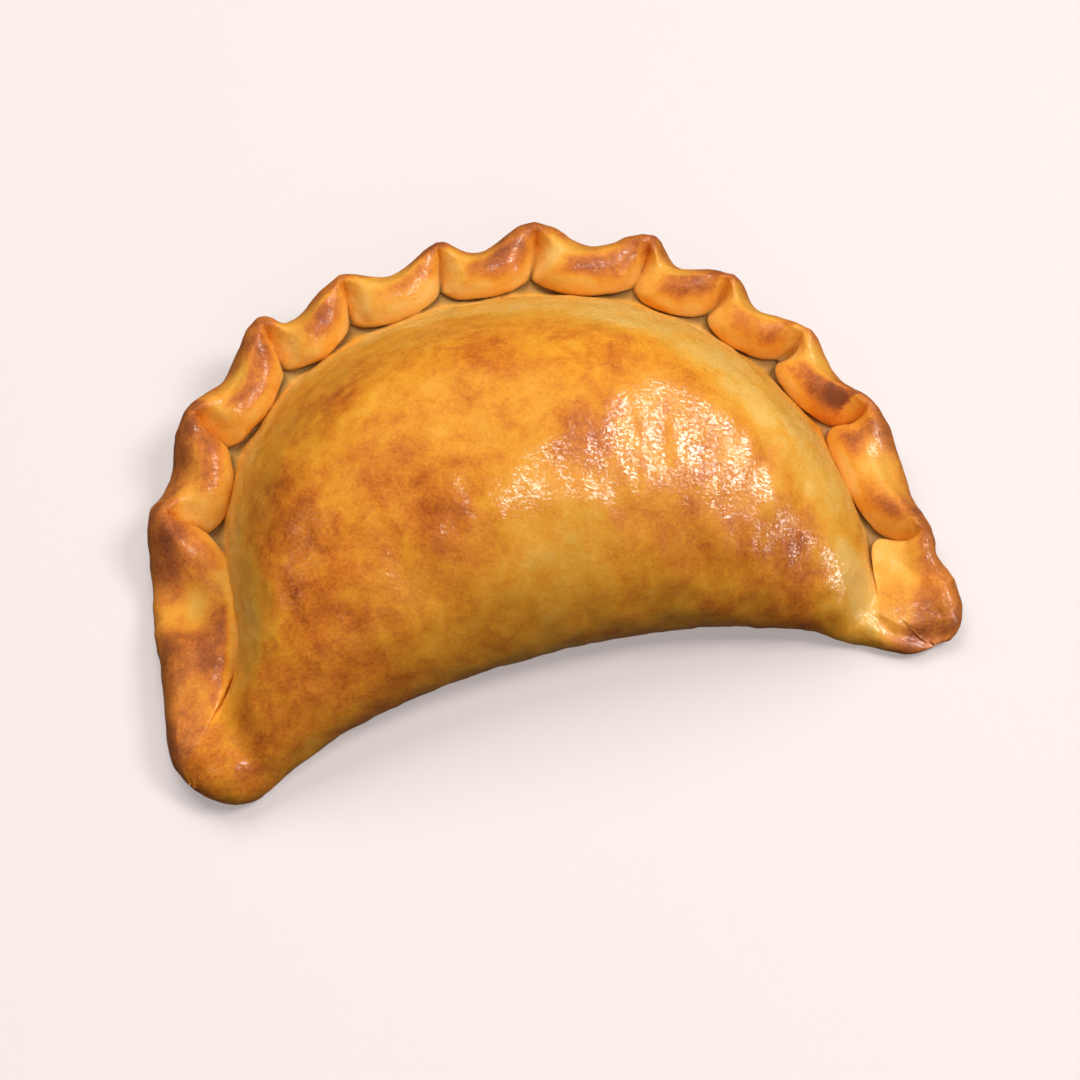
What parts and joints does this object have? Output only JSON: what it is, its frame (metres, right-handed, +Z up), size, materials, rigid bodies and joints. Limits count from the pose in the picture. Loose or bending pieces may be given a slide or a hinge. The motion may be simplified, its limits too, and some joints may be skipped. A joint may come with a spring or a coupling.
{
  "type": "empanada",
  "caption": "Baked half-moon turnover, whole and uncut, a plump golden pocket of dough sealed along its curved edge by a rope of hand-made folds.",
  "frame": {"origin": "centre of the bounding box in plan, on the flat underside", "axes": "+X along the length from the plain tip to the layered tip, +Y towards the folded rope at the back, +Z up"},
  "size_m": [0.1184, 0.0826, 0.036],
  "materials": {
    "crust": "golden baked crust with a glossy egg wash, browner on the ridges and paler in the creases"
  },
  "bodies": {
    "root": {"pastry": "crust"}
  },
  "joints": []
}
